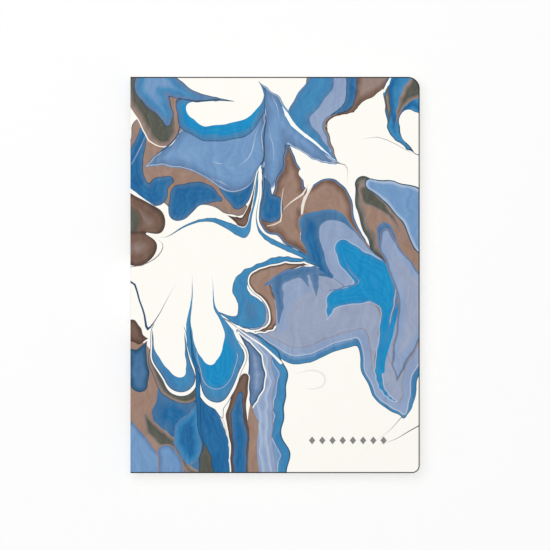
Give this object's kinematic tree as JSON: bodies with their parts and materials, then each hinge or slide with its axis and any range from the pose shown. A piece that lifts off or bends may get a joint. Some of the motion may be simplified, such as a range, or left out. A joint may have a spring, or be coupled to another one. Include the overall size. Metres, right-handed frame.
{
  "type": "softcover notebook",
  "caption": "Softcover notebook with sewn sections, a square spine, rounded fore-edge corners and covers that open on scored hinges.",
  "frame": {"origin": "centre of the notebook's underside, on the surface that it lies on", "axes": "+X from the spine to the fore-edge, +Y from tail to head, +Z from the back cover to the front cover"},
  "size_m": [0.153, 0.2094, 0.0107],
  "materials": {
    "cover_card": "satin",
    "pages": "matte",
    "thread": "matte",
    "gauze": "matte",
    "adhesive": "satin"
  },
  "bodies": {
    "text_block": {"page_block": "pages", "sewing_thread": "thread", "spine_lining": "gauze", "spine_glue": "adhesive", "cover_spine": "cover_card"},
    "front_cover": {"front_cover": "cover_card"},
    "back_cover": {"back_cover": "cover_card"}
  },
  "joints": [
    {"name": "front_cover_hinge", "type": "hinge", "parent": "text_block", "child": "front_cover", "pos_m": [-0.07, 0, 0.0108], "axis": [0, -1, 0], "range_deg": [0, 180]},
    {"name": "back_cover_hinge", "type": "hinge", "parent": "text_block", "child": "back_cover", "pos_m": [-0.07, 0, -0.0001], "axis": [0, 1, 0], "range_deg": [0, 180]}
  ]
}
